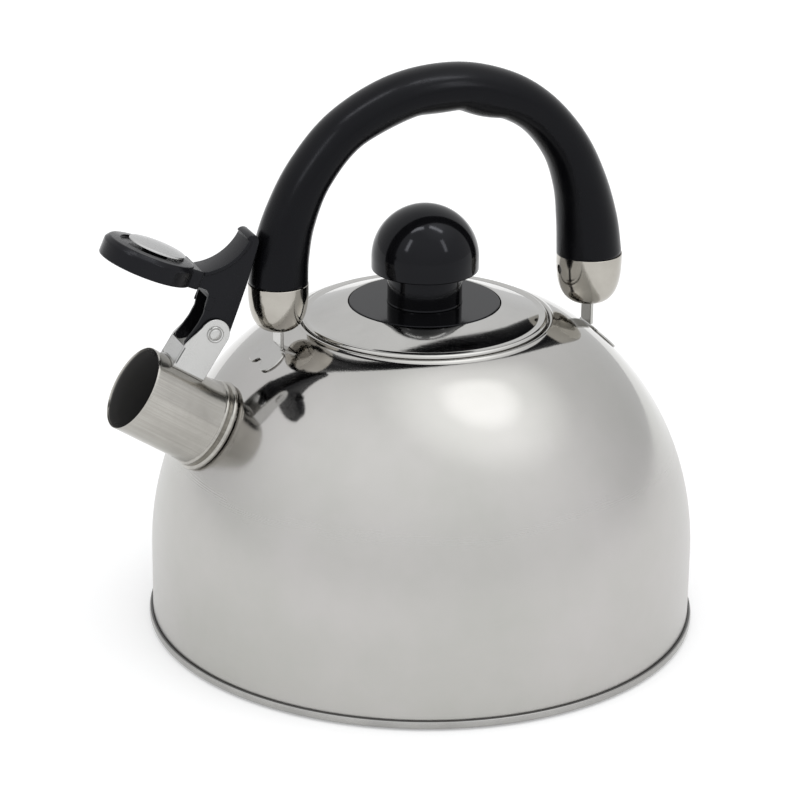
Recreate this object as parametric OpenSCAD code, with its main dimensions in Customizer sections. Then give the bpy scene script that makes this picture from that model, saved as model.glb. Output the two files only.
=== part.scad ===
// Stovetop whistling kettle. A domed stainless body carries a lift-off lid, a fixed arched
// handle on two welded straps, and a pouring spout with a flip-up whistle.
// Millimetres. The origin is the centre of the base on the hob, +Z is up, the spout points
// along -X and the handle stands in the XZ plane.

/* [Body] */
// Outside diameter of the straight wall
body_d = 220; // [214:1:226]
// Height at which the straight wall turns into the dome
wall_h = 31; // [29:0.5:33]
// Rise of the dome's elliptical curve above the wall
dome_rise = 105.8; // [104:0.2:108]
// Radius at which the dome's curve would be level
dome_crown_r = 14.4; // [12:0.2:17]
// Thickness of the stainless sheet
sheet = 0.8; // [0.6:0.1:1]

/* [Base] */
// Radius of the flat that stands on the hob
base_flat_r = 100; // [80:1:104]
// Outside radius of the rolled rim beyond the wall
rim_out = 1.5; // [1.2:0.1:2]
// Height of the rolled rim's top
rim_top = 3.9; // [3:0.1:5]

/* [Lid] */
// Outside radius of the lid's rolled edge
lid_r = 49.2; // [48.6:0.1:49.4]
// Height of the seat the lid's edge lies over
seat_z = 126.6; // [126.2:0.1:127]
// Radius of the opening inside the seat
mouth_r = 45.2; // [45:0.1:46]
// Height of the domed lid beside the heat guard
lid_crown_z = 134.3; // [134:0.1:135]
// Depth of the collar that locates the lid
skirt_h = 14; // [8:0.5:18]

/* [Knob] */
// Radius of the knob's round top
knob_r = 21.4; // [18:0.2:23]
// Radius of the knob's stem
stem_r = 14.9; // [10:0.1:15.5]
// Radius of the heat guard under the knob
guard_r = 30.1; // [26:0.1:31]
// Height of the centre of the knob's round top
knob_z = 152.9; // [152:0.1:158]

/* [Spout] */
// Distance of the spout's mouth in front of the kettle's axis
mouth_x = 121.7; // [119:0.1:126]
// Height of the centre of the spout's mouth
mouth_z = 113.5; // [113:0.1:115]
// Angle of the spout above the horizontal
spout_tilt = 33.3; // [32:0.1:34]
// Outside radius of the spout tube
spout_r = 17.2; // [16.6:0.1:17.4]
// Distance from the mouth back to the bead that lies on the body
bead_back = 36.2; // [35.8:0.1:36.4]

/* [Whistle] */
// Height of the lever's pivot above the spout's axis
pivot_up = 34.5; // [34.2:0.1:35]
// Distance of the lever's pivot behind the mouth
pivot_back = 14.7; // [14.2:0.1:15]
// Angle the lever stands open from its closed place on the mouth
lever_open = 80; // [60:1:80]
// Radius of the whistle's round cap
cap_r = 18.5; // [17.8:0.1:19]
// Thickness of the whistle's cap
cap_h = 8.6; // [8:0.1:9]
// Width of the lever's arm
arm_w = 12.6; // [11:0.2:12.8]

/* [Handle] */
// Distance of the front ferrule's axis from the kettle's axis
front_x = 61.8; // [61.4:0.2:62.6]
// Distance of the rear ferrule's axis from the kettle's axis
rear_x = 71.8; // [71:0.2:72.6]
// Height of the joint between the front ferrule and the grip
front_top = 149.5; // [148:0.5:151]
// Height of the joint between the rear ferrule and the grip
rear_top = 146.6; // [146:0.1:147.5]
// Length of the front ferrule
front_ferrule_h = 19.5; // [18:0.1:20]
// Length of the rear ferrule
rear_ferrule_h = 21.2; // [20:0.1:22]
// Radius of the front ferrule's open end
front_ferrule_r = 11.9; // [11.4:0.1:12.2]
// Radius of the rear ferrule's open end
rear_ferrule_r = 13.3; // [12.8:0.1:13.6]
// Width of the steel straps
strap_w = 9; // [8:0.5:10]
// Thickness of the steel straps
strap_t = 1.4; // [1:0.1:1.6]

/* [Hidden] */
$fn = 96;
body_r = body_d / 2;
dome_span = body_r - dome_crown_r;
near = 0.05;           // gap between pieces that lie against each other
free = 0.3;            // gap between pieces that move apart
lip_r = 51.9;          // where the dome turns into the rolled lip of the lid's seat
lid_bead = 1.3;        // half thickness of the lid's rolled edge
guard_z = 132.1;       // underside of the heat guard
guard_h = 2.3;
screw_r = 1.95;        // the knob's screw
bead_r = 1.2;          // half thickness of the spout's bead
rivet_r = 1.5;
ear_t = 1;             // thickness of the lever bracket's sheet
ear_in = 6.9;          // half the gap between the bracket's ears
ear_half = 6;          // half width of an ear
cap_z = pivot_back + free + near;
lip_back = 6.1;        // distance from the mouth to the bracket's upturned lip
lip_top = 24.8;        // the lip's edge above the spout's axis
disc_shift = 1.8;      // the steel disc sits this much nearer the pivot than the cap
spigot_h = 8;          // how far the grip reaches into a ferrule
spigot_gap = 0.9;
handle_screw_r = 1.3;
screw_drop = 6;        // the handle's screws sit this far below the grip's ends
dome_steps = 36;

steel = [0.80, 0.80, 0.79];
bright = [0.86, 0.85, 0.82];
black = [0.05, 0.05, 0.055];
lever_black = [0.09, 0.09, 0.095];

// The dome: a point on its curve at angle t, moved out along the surface's normal.
function dome_normal(t) =
    let (n = [cos(t) / dome_span, sin(t) / dome_rise])
    n / norm(n);
function dome_point(t, out = 0) =
    [dome_crown_r + dome_span * cos(t), wall_h + dome_rise * sin(t)] + out * dome_normal(t);
function dome_angle(r) = acos((r - dome_crown_r) / dome_span);
function dome_z(r) = wall_h + dome_rise * sin(dome_angle(r));
function dome_curve(t0, t1, steps, out = 0) =
    [for (i = [0:steps]) dome_point(t0 + (t1 - t0) * i / steps, out)];
function arc(centre, r, a0, a1, steps = 12) =
    [for (i = [0:steps]) centre + r * [cos(a0 + (a1 - a0) * i / steps),
                                       sin(a0 + (a1 - a0) * i / steps)]];

// ---- body ----

module body_profile() {
    lip_t = dome_angle(lip_r);
    lip_z = dome_z(lip_r);
    polygon(concat(
        [[body_r, 0.75 + sheet]],
        dome_curve(0, lip_t, dome_steps),
        arc([50.8, lip_z], 1.1, 10, 170, 8),
        [[49.7, seat_z], [mouth_r, seat_z], [mouth_r, seat_z - 4],
         [mouth_r + sheet, seat_z - 4], [mouth_r + sheet, seat_z - sheet],
         [49.7 + sheet, seat_z - sheet], [49.7 + sheet, lip_z - sheet]],
        dome_curve(lip_t, 0, dome_steps, -sheet),
        [[body_r - sheet, 0.75 + sheet]]));
}

module body_shell() color(steel) difference() {
    rotate_extrude($fn = 180) body_profile();
    spout_frame() translate([0, 0, -50]) cylinder(r = spout_r + 0.1, h = 52);
}

// The base: a flat pan whose edge is rolled up around the foot of the wall.
module base_pan() color(steel) rotate_extrude($fn = 180) {
    rim_r = body_r + rim_out;
    polygon([[0, 0], [base_flat_r, 0], [base_flat_r + 1.5, 0.7], [rim_r - 1, 0.7],
             [rim_r - 1, 1.5], [base_flat_r + 1.1, 1.5], [base_flat_r - 0.4, sheet],
             [0, sheet]]);
    difference() {
        translate([body_r, 0.7]) square([rim_out, rim_top - 0.7]);
        translate([body_r - 1, 0.6]) square([1 + near, 5]);
        corner(rim_r, rim_top, 1.1);
        mirror([0, 1]) corner(rim_r, -0.7, 1.1);
    }
}

// What a rounded outside corner at [x, z] takes away.
module corner(x, z, r) difference() {
    translate([x - r, z - r]) square(r + 1);
    translate([x - r, z - r]) circle(r, $fn = 48);
}

// ---- spout ----

// The spout's own frame: its mouth at z = 0, z outwards, x up from the axis.
module spout_frame() translate([-mouth_x, 0, mouth_z]) rotate([0, spout_tilt - 90, 0]) children();

module ring(r, z, half) translate([r, z]) circle(half, $fn = 32);

module spout_tube() color(steel) spout_frame() rotate_extrude() difference() {
    union() {
        translate([spout_r - sheet, -40.2]) square([sheet, 40]);
        ring(spout_r - sheet / 2, -0.3, sheet / 2 + 0.1);
        ring(spout_r + 0.6, -bead_back, bead_r);
        ring(spout_r + 0.05, -bead_back + 2.6, 0.85);
        translate([spout_r - sheet, -40.2]) square([1.9, sheet]);
    }
    translate([spout_r - sheet - 5, -45]) square([5, 50]);
}

module lever_bracket() color(steel) spout_frame() difference() {
    union() {
        intersection() {
            difference() {
                cylinder(r = spout_r + near + ear_t, h = 100, center = true);
                cylinder(r = spout_r + near, h = 101, center = true);
            }
            translate([0, -ear_in - ear_t, -pivot_back - ear_half])
                cube([30, 2 * (ear_in + ear_t), ear_half + pivot_back - lip_back]);
        }
        for (s = [-1, 1])
            translate([0, s * (ear_in + ear_t / 2), -pivot_back])
                rotate([90, 0, 0]) linear_extrude(ear_t, center = true) {
                    polygon([[spout_r - 0.7, -ear_half], [pivot_up, -ear_half], [pivot_up, ear_half],
                             [lip_top + 1, pivot_back - lip_back], [spout_r - 0.7, pivot_back - lip_back]]);
                    translate([pivot_up, 0]) circle(ear_half);
                }
        translate([spout_r + near, -ear_in - ear_t, -lip_back - ear_t])
            cube([lip_top - spout_r - near, 2 * (ear_in + ear_t), ear_t]);
    }
    translate([pivot_up, 0, -pivot_back])
        rotate([90, 0, 0]) cylinder(r = rivet_r + 0.02, h = 30, center = true, $fn = 48);
}

module lever_rivet() color(bright) spout_frame() translate([pivot_up, 0, -pivot_back])
    rotate([90, 0, 0]) {
        head = ear_in + ear_t + near;
        cylinder(r = rivet_r, h = 2 * head + 0.4, center = true, $fn = 48);
        for (s = [0, 1]) mirror([0, 0, s]) translate([0, 0, head])
            rotate_extrude($fn = 48) intersection() {
                translate([0, -5.6]) circle(6.6);
                square([3.3, 1.2]);
            }
    }

// ---- whistle ----

// The lever's own frame: its pivot at the origin, z outwards along the spout when closed.
module lever_frame() spout_frame() translate([pivot_up, 0, -pivot_back])
    rotate([0, lever_open, 0]) children();

module arm_profile() polygon(concat(
    [[-20, cap_z + 0.4], [-9.5, cap_z + 0.4], [-7.9, 13.8], [-7.6, 10], [-6.9, 6.2], [-7.4, 1.7],
     [-8.7, -3]],
    arc([-7.9, -6.6], 2, 170, 290, 6),
    arc([0, 0], 6.4, 250, 365, 12),
    [[5.9, 12], [5.4, 22]],
    arc([0.9, 38.6], 2.8, 4, 165, 8),
    arc([-22, 41.3], 21.2, -6, -80, 16)));

module arm_solid() {
    rotate([90, 0, 0]) linear_extrude(arm_w, center = true) arm_profile();
    translate([-pivot_up, 0, 0]) rotate_extrude() difference() {
        translate([0, cap_z]) square([cap_r, cap_h]);
        corner(cap_r, cap_z + cap_h, 2.4);
        mirror([0, 1]) corner(cap_r, -cap_z, 0.5);
    }
    translate([-28, -8.6, cap_z + 0.2]) cube([13.4, 17.2, cap_h - 1.6]);
    for (s = [-1, 1]) translate([-7.6, s * (arm_w / 2 + 0.1) - 0.25, 8]) cube([2.7, 0.5, 5.3]);
}

module whistle_lever() color(lever_black) lever_frame() difference() {
    arm_solid();
    translate([-pivot_up, 0, 0]) {
        translate([0, 0, cap_z - 1]) cylinder(r = 15.2, h = cap_h - 1.4);
        difference() {
            translate([0, 0, cap_z + cap_h - 1.1]) cylinder(r = 12.9, h = 3);
            translate([disc_shift, 0, cap_z]) cylinder(r = 5, h = cap_h + 1.7);
        }
        for (a = [45:90:315]) rotate(a) translate([9.2, 0, cap_z]) cylinder(r = 1.8, h = 20, $fn = 32);
    }
    translate([-24, -5, -20]) cube([21, 10, 32.5]);
    rotate([90, 0, 0]) cylinder(r = rivet_r + 0.06, h = 30, center = true, $fn = 48);
}

module whistle_disc() color(bright) lever_frame() translate([disc_shift - pivot_up, 0, cap_z + cap_h + 0.6])
    rotate_extrude() difference() {
        intersection() {
            translate([0, 1.9 - 56]) circle(56, $fn = 360);
            square([11.4, 4]);
        }
        translate([0, 1.3 - 56]) circle(56, $fn = 360);
        translate([-1, -1]) square([1, 5]);
    }

module whistle_cup() color(black) lever_frame() translate([-pivot_up, 0, cap_z + 0.2])
    rotate_extrude() {
        translate([1.6, 0]) square([12.6, 0.5]);
        translate([13.7, 0]) square([0.5, 5.2]);
        translate([13.7, 4.7]) square([1.4, 0.5]);
    }

module whistle_plate() color(bright) lever_frame() translate([-pivot_up, 0, cap_z + 2.8])
    rotate_extrude() {
        translate([1.6, 0]) square([12, 0.5]);
        translate([13.1, -1.2]) square([0.5, 1.7]);
    }

// ---- handle ----

// Feet: the strap's wide lower end follows the dome and is welded to it.
module strap_foot(x) intersection() {
    rotate_extrude($fn = 180) polygon(concat(
        dome_curve(dome_angle(body_r - 12), dome_angle(50), 24, near),
        dome_curve(dome_angle(50), dome_angle(body_r - 12), 24, strap_t)));
    linear_extrude(200) {
        translate([x - strap_t / 2, -strap_w / 2]) square([6, strap_w]);
        for (s = [-1, 1]) translate([x + 4.6, 5.8 * s]) circle(4.8, $fn = 64);
        translate([x + 2, -5.8]) square([6, 11.6]);
    }
}

module strap(x, top, toward) mirror([toward < 0 ? 1 : 0, 0, 0]) difference() {
    union() {
        strap_foot(x);
        translate([x - strap_t / 2, -strap_w / 2, dome_z(x - strap_t) + near])
            cube([strap_t, strap_w, top + 14 - dome_z(x)]);
    }
    translate([x, 0, top - screw_drop]) rotate([0, 90, 0])
        cylinder(r = handle_screw_r + 0.4, h = 10, center = true, $fn = 32);
    for (s = [-1, 1]) translate([x + 4.6, 5.8 * s, dome_z(x + 4.6) + 1.5])
        cylinder(r = 0.9, h = 3, $fn = 32);
}

module front_strap() color(steel) strap(front_x, front_top, -1);
module rear_strap() color(steel) strap(rear_x, rear_top, 1);

// A bullet-shaped cap, closed below but for the strap's slot.
function ferrule_r(r, h, z) = r * pow(1 - pow((h - z) / h, 3), 1 / 3);
function ferrule_curve(r, h, steps = 20) =
    [for (i = [1:steps]) let (z = h * pow(i / steps, 2)) [ferrule_r(r, h, z), z]];

module ferrule(r, h, toward) difference() {
    rotate_extrude(convexity = 4) difference() {
        polygon(concat([[0, 0]], ferrule_curve(r, h), [[0, h]]));
        translate([0, 1]) polygon(concat([[0, 0]], ferrule_curve(r - sheet, h), [[0, h]]));
    }
    translate([-strap_t / 2 - 0.3, -strap_w / 2 - 0.3, -1]) cube([strap_t + 0.6, strap_w + 0.6, 6]);
    translate([0, 0, h - screw_drop]) rotate([0, -90 * toward, 0]) cylinder(r = 1.9, h = 20, $fn = 32);
}

module front_ferrule() color(bright) translate([-front_x, 0, front_top - front_ferrule_h])
    ferrule(front_ferrule_r, front_ferrule_h, -1);
module rear_ferrule() color(bright) translate([rear_x, 0, rear_top - rear_ferrule_h])
    ferrule(rear_ferrule_r, rear_ferrule_h, 1);

// The grip's centre line from the front ferrule to the rear one: x, z, the size of its
// section across the arch and the size of its section along Y.
grip_stations = [
    [-front_x, front_top + near, 23.4, 23.4],
    [-60.7, 161, 22.2, 23],
    [-56.9, 175.7, 19.9, 22.4],
    [-48.9, 192.3, 17.9, 22],
    [-34.5, 208.5, 17.2, 22],
    [-12.5, 219.4, 18, 22],
    [11.2, 221.8, 18.6, 22],
    [31.5, 216.9, 18.8, 22.2],
    [46.9, 207.9, 18, 22.6],
    [59.3, 193.2, 18.8, 23.6],
    [66.4, 177, 21.2, 24.6],
    [70.1, 160.5, 24.6, 25.6],
    [rear_x - 0.2, rear_top + near, 26.3, 26.3]];
grip_rings = 3;        // rings of the grip's surface between two stations
ring_points = 24;
grip_last = len(grip_stations) - 1;

// Flats for the fingers along the underside: where each starts and ends, in stations, and how
// far its middle stands out from the arch's own curve.
flats = [[4.1, 5.25, 0.6], [5.25, 6.08, 0.8], [6.08, 7.15, 1.5]];

function blend(a, b, c, d, t) =
    0.5 * (2 * b + (c - a) * t + (2 * a - 5 * b + 4 * c - d) * t * t
           + (3 * b - a - 3 * c + d) * t * t * t);
function station(i) = grip_stations[max(0, min(grip_last, i))];
function grip_at(s) =
    let (i = min(floor(s), grip_last - 1))
    blend(station(i - 1), station(i), station(i + 1), station(i + 2), s - i);
function grip_heading(s) =
    s <= 0 ? 90 : s >= grip_last ? -90
    : let (d = grip_at(s + 0.01) - grip_at(s - 0.01)) atan2(d[1], d[0]);
function flat_at(s) =
    let (in = [for (f = flats) if (s > f[0] && s < f[1]) f[2] * sin(180 * (s - f[0]) / (f[1] - f[0]))])
    len(in) > 0 ? in[0] : 0;

// One ring of points: the section's inner side is where the angle is 270 degrees.
function ring_at(centre, heading, across, along, swell = 0) =
    [for (k = [0:ring_points - 1])
        let (a = 360 * k / ring_points,
             lift = across / 2 * sin(a) - swell * pow(max(0, -sin(a)), 2))
        [centre[0] - lift * sin(heading), along / 2 * cos(a), centre[1] + lift * cos(heading)]];
function grip_ring(s) =
    let (p = grip_at(s))
    ring_at([p[0], p[1]], grip_heading(s), p[2], p[3], flat_at(s));
function spigot_ring(x, z, r, heading) = ring_at([x, z], heading, 2 * r, 2 * r);

// A closed surface through rings of equal point counts.
module skin(rings) {
    n = len(rings[0]);
    last = len(rings) - 1;
    sides = [for (i = [0:last - 1], k = [0:n - 1], half = [0, 1])
        let (a = i * n + k, b = i * n + (k + 1) % n)
        half == 0 ? [a, b, a + n] : [b, b + n, a + n]];
    polyhedron([for (r = rings) each r],
        concat(sides, [[for (k = [n - 1:-1:0]) k]], [[for (k = [0:n - 1]) last * n + k]]),
        convexity = 8);
}

module grip_arch() {
    front_r = front_ferrule_r - sheet - spigot_gap;
    rear_r = rear_ferrule_r - sheet - spigot_gap;
    steps = grip_last * grip_rings;
    skin(concat(
        [spigot_ring(-front_x, front_top - spigot_h, front_r, 90),
         spigot_ring(-front_x, front_top + near, front_r, 90)],
        [for (i = [0:steps]) grip_ring(i / grip_rings)],
        [spigot_ring(rear_x, rear_top + near, rear_r, -90),
         spigot_ring(rear_x, rear_top - spigot_h, rear_r, -90)]));
}

module leg_slots(x, top, toward) {
    translate([x - strap_t / 2 - 0.3, -strap_w / 2 - 0.3, top - 20])
        cube([strap_t + 0.6, strap_w + 0.6, 36]);
    translate([x, 0, top - screw_drop]) rotate([0, -90 * toward, 0]) translate([0, 0, -4.5])
        cylinder(r = handle_screw_r + 0.12, h = 24.5, $fn = 24);
}

module handle_grip() color(black) difference() {
    grip_arch();
    leg_slots(-front_x, front_top, -1);
    leg_slots(rear_x, rear_top, 1);
}

// Screws that hold each ferrule and the grip to the strap, from the lid's side.
module handle_screw(r, toward) rotate([0, -90 * toward, 0]) {
    head = r - sheet - spigot_gap + near;
    translate([0, 0, -4]) cylinder(r = handle_screw_r, h = head + 4.5, $fn = 32);
    translate([0, 0, head]) cylinder(r = 1.75, h = 0.9, $fn = 32);
}

module front_screw() color(steel) translate([-front_x, 0, front_top - screw_drop])
    handle_screw(front_ferrule_r, -1);
module rear_screw() color(steel) translate([rear_x, 0, rear_top - screw_drop])
    handle_screw(rear_ferrule_r, 1);

// ---- lid ----

// The lid's slope grows from the guard to the bead.
function lid_top(r) = let (d = r - guard_r - 0.9) lid_crown_z - 0.3 * d - d * d / 390;

module lid_shell() color(steel) rotate_extrude($fn = 180) {
    bead = [lid_r - lid_bead, seat_z + free + lid_bead];
    dome_in = guard_r + 0.9;
    dome_out = lid_r - 2 * lid_bead;
    dome = [for (i = [0:12]) let (r = dome_in + (dome_out - dome_in) * i / 12) [r, lid_top(r)]];
    under = [for (i = [12:-1:0]) dome[i] - [0, sheet]];
    polygon(concat([[guard_r + 0.7, guard_z - near]], dome, arc(bead, lid_bead, 100, -170, 20), under,
        [[guard_r + 0.7, guard_z - near - sheet], [screw_r + 0.3, guard_z - near - sheet],
         [screw_r + 0.3, guard_z - near]]));
}

module lid_skirt() color(steel) rotate_extrude($fn = 180) {
    top = lid_top(mouth_r - 1) - sheet - near - 0.15;
    translate([mouth_r - 1 - sheet, seat_z - skirt_h]) square([sheet, top - seat_z + skirt_h]);
    translate([mouth_r - 6, top - sheet]) square([5, sheet]);
}

module knob_guard() color(black) rotate_extrude($fn = 128) difference() {
    translate([screw_r + 0.3, guard_z]) square([guard_r - screw_r - 0.3, guard_h]);
    corner(guard_r, guard_z + guard_h, 1.2);
}

module knob() color(black) rotate_extrude($fn = 128) {
    stem_z = guard_z + guard_h + near;
    difference() {
        union() {
            intersection() {
                translate([0, knob_z]) circle(knob_r, $fn = 128);
                translate([0, knob_z]) square(knob_r);
            }
            polygon([[0, knob_z - 4.7], [knob_r - 0.5, knob_z - 4.7], [knob_r, knob_z - 4.2],
                     [knob_r, knob_z], [0, knob_z]]);
            translate([0, stem_z]) square([stem_r, knob_z - 4 - stem_z]);
        }
        translate([-1, stem_z - 1]) square([1 + screw_r + 0.05, 17]);
    }
}

module knob_screw() color(steel) {
    head_z = guard_z - near - sheet - 1 - near;
    translate([0, 0, head_z]) cylinder(r = screw_r, h = 16, $fn = 48);
    translate([0, 0, head_z - 2.2]) difference() {
        rotate_extrude($fn = 64) difference() {
            square([3.8, 2.2]);
            mirror([0, 1]) corner(3.8, 0, 1.2);
        }
        for (a = [0, 90]) rotate(a) translate([-2, -0.4, -1]) cube([4, 0.8, 2]);
    }
}

module knob_washer() color(bright)
    translate([0, 0, guard_z - near - sheet - 1]) difference() {
        cylinder(r = 8, h = 1 - near);
        translate([0, 0, -1]) cylinder(r = screw_r + 0.2, h = 3, $fn = 48);
    }

body_shell();
base_pan();
spout_tube();
lever_bracket();
lever_rivet();
whistle_lever();
whistle_disc();
whistle_cup();
whistle_plate();
front_strap();
rear_strap();
front_ferrule();
rear_ferrule();
handle_grip();
front_screw();
rear_screw();
lid_shell();
lid_skirt();
knob_guard();
knob();
knob_screw();
knob_washer();
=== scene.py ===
"""Looks of the stovetop whistling kettle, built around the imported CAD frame.

Lengths are in millimetres inside the shape functions and are scaled to metres when a mesh is made.
The shapes repeat the driving dimensions of the CAD model, in the same frame: the origin is the centre
of the base on the surface it stands on, +Z is up and the spout points along -X. Beyond their finer
edges they differ from it in the dome's flatter shoulder and lip, and in the lever's wider neck.
"""

import math

import bmesh
import bpy
from mathutils import Euler, Matrix, Vector


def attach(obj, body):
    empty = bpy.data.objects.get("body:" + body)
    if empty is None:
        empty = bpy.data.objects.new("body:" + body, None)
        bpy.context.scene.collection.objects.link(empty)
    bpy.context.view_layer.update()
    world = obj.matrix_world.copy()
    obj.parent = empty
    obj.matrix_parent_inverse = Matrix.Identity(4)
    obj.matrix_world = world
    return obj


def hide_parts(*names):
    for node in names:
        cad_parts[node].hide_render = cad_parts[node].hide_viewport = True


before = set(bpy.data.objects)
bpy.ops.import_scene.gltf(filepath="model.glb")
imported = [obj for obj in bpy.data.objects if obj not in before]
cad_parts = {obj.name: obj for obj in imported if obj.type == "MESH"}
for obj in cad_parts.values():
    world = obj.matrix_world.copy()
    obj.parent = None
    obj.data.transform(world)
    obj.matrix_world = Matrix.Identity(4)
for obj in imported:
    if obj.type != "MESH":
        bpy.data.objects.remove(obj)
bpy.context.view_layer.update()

MM = 0.001
ROUND = 192                # sides of a turned piece where no other count is given
FINE_ROUND = 384           # sides of the widest turned pieces

# ---- driving dimensions ----

SHEET = 0.8                # thickness of the pressed steel
GAP = 0.05                 # between pieces that lie against each other

BODY_R = 110.0
WALL_FOOT = 1.55           # the wall's lower edge, inside the base's rim
WALL_H = 31.0              # where the wall turns into the dome
DOME_RISE = 105.8          # the dome's ellipse: its height above the wall,
DOME_CROWN_R = 14.4        # its centre's distance from the axis
DOME_SPAN = BODY_R - DOME_CROWN_R
SHOULDER_R = 64.0          # inside this radius the dome is flatter than the ellipse,
SHOULDER_SAG = 0.005       # by this many mm for each square mm of distance from it
LIP_R = 51.9               # where the dome turns into the rolled lip
LIP_ROLL_AT = 50.8
LIP_ROLL_R = 1.1
SEAT_R = 49.7              # the outer edge of the lid's seat, inside the lip
SEAT_Z = 126.6
MOUTH_R = 45.2
RIM_R = 111.5
RIM_TOP = 3.9
BASE_FLAT_R = 100.0

LID_R = 49.2
LID_BEAD = 1.3
LID_LIFT = 0.3             # of the bead above the seat
LID_CROWN_Z = 134.3
LID_SLOPE = 0.3            # beside the guard; it grows outwards
LID_BEND = 390.0           # how slowly the slope grows
GUARD_R = 30.1
GUARD_Z = 132.1
GUARD_H = 2.3
GUARD_EDGE = 0.9           # from the guard to the start of the lid's slope
KNOB_BORE_R = 2.25         # the screw's hole through the lid and the guard
KNOB_R = 21.4
KNOB_Z = 152.9
KNOB_SKIRT = 4.7
STEM_R = 14.9

SPOUT_MOUTH = Vector((-121.7, 0.0, 113.5))
SPOUT_TILT = math.radians(33.3)
SPOUT_R = 17.2
SPOUT_ROOT = -40.2         # the inner end, behind the mouth
SPOUT_FLARE = 1.1
SPOUT_SEARCH = 60.0        # how far behind the mouth the body is searched for the spout's hole
HOLE_MARGIN = 3.0          # the hole's rough edge lies within this of its circle
BEAD_BACK = 36.2
BEAD_HALF = 1.2
RING_AHEAD = 3.0           # the smaller ring, in front of the bead
RING_R = 0.95

PIVOT_UP = 34.5
PIVOT_BACK = 14.7
LEVER_OPEN = math.radians(80.0)
RIVET_R = 1.5
RIVET_HEAD_R = 3.3
EAR_T = 1.0
EAR_IN = 6.9
EAR_HALF = 6.0
LIP_BACK = 6.1             # the bracket's upturned lip
LIP_TOP = 24.8

CAP_R = 18.5
CAP_H = 8.6
CAP_Z = PIVOT_BACK + 0.35
CAP_HOLLOW_R = 15.2
CAP_WELL_R = 12.9
CAP_WELL = 1.1             # depth of the well under the disc
BOSS_R = 5.0
DISC_SHIFT = 1.8
DISC_R = 11.4
DISC_T = 0.6
DISC_CROWN = 2.5           # of its middle above the cap
DISC_DOME_R = 56.0
ARM_W = 12.6
SADDLE_AT = (-22, 41.3)    # the thumb's saddle
SADDLE_R = 21.2
TIP_AT = (0.9, 38.6)       # the rounded tip above the saddle
TIP_R = 2.8
PIVOT_END_R = 6.4
NECK_HALF = 10.6

FRONT_X = 61.8
REAR_X = 71.8
FRONT_TOP = 149.5
REAR_TOP = 146.6
FRONT_FERRULE_H = 19.5
REAR_FERRULE_H = 21.2
FRONT_FERRULE_R = 11.9
REAR_FERRULE_R = 13.3
SCREW_DROP = 6.0
SCREW_HOLE_R = 1.9
STRAP_W = 9.0
STRAP_T = 1.4
STRAP_IN_GRIP = 14.0
LOBE_R = 4.8
LOBE_OUT = 4.6
LOBE_SIDE = 5.8
FOOT_T = 0.8
WELD_R = 0.8
WELD_DEPTH = 0.15

# The grip's centre line: x, z, the section's size across the arch and its size along Y.
GRIP_STATIONS = (
    (-FRONT_X, FRONT_TOP + GAP, 23.4, 23.4),
    (-60.7, 161, 22.2, 23),
    (-56.9, 175.7, 19.9, 22.4),
    (-48.9, 192.3, 17.9, 22),
    (-34.5, 208.5, 17.2, 22),
    (-12.5, 219.4, 18, 22),
    (11.2, 221.8, 18.6, 22),
    (31.5, 216.9, 18.8, 22.2),
    (46.9, 207.9, 18, 22.6),
    (59.3, 193.2, 18.8, 23.6),
    (66.4, 177, 21.2, 24.6),
    (70.1, 160.5, 24.6, 25.6),
    (REAR_X - 0.2, REAR_TOP + GAP, 26.3, 26.3),
)
# Flats for the fingers under the arch: where each one starts and ends, counted in stations, and
# how far its middle stands out from the arch's own curve.
FINGER_FLATS = ((4.1, 5.25, 0.6), (5.25, 6.08, 0.8), (6.08, 7.15, 1.5))

# The camera, found from the photograph's perspective: where it stands, how far its axis is
# turned from +Y and tipped below the horizon, its roll, its lens and its sensor's width.
CAMERA_AT = Vector((-452.1, -1091.4, 559.6))
CAMERA_TURN = math.radians(-22.05)
CAMERA_DOWN = math.radians(21.61)
CAMERA_ROLL = math.radians(0.69)
CAMERA_LENS = 141.83
CAMERA_SENSOR = 36

# The studio tent: its level at the horizon and overhead, what share of it is left on the far side
# from the camera, and the lamp above and to the right as two soft glows, one inside the other. An
# edge is the cosine of a glow's half angle.
TENT_TINT = (0.985, 0.99, 1.0, 1)
TENT_LEVEL = 1.03
TENT_TOP = 1.28
TENT_BACK = 0.77
KEY_LEVEL = 0.45
KEY_FROM = Vector((0.31, -0.15, 0.94))
KEY_EDGE = 0.78
CORE_LEVEL = 0.42
CORE_EDGE = 0.955
CORE_FULL = 0.995
# Oblong lamps that light the black plastic only, seen as the four glints on the knob: how far each
# one is turned to the right of the camera's side, how high it stands, and its power.
GLINTS = ((-58, 72, 6), (70, 70, 6), (-45, 36, 4.5), (50, 35, 3.5))
GLINT_AWAY = 2.2
GLINT_SIZE = (0.95, 0.24)
FLOOR_GLOW = 0.32
FLOOR_HALF = 6000

# Painted shade: the dark, dull colour given to the spout's bore and to the seam on the base's rim,
# where shade falls; and the faintly blue sheen of the black plastic.
PAINTED_SHADE = (0.05, 0.049, 0.048)
BLACK_SHEEN = (0.9, 0.92, 1.0, 1)


# ---- profiles ----

def arc(centre, radius, start, end, steps=12):
    """Points on a circle in the (r, z) plane, from angle start to angle end in degrees."""
    points = []
    for i in range(steps + 1):
        a = math.radians(start + (end - start) * i / steps)
        points.append((centre[0] + radius * math.cos(a), centre[1] + radius * math.sin(a)))
    return points


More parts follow.
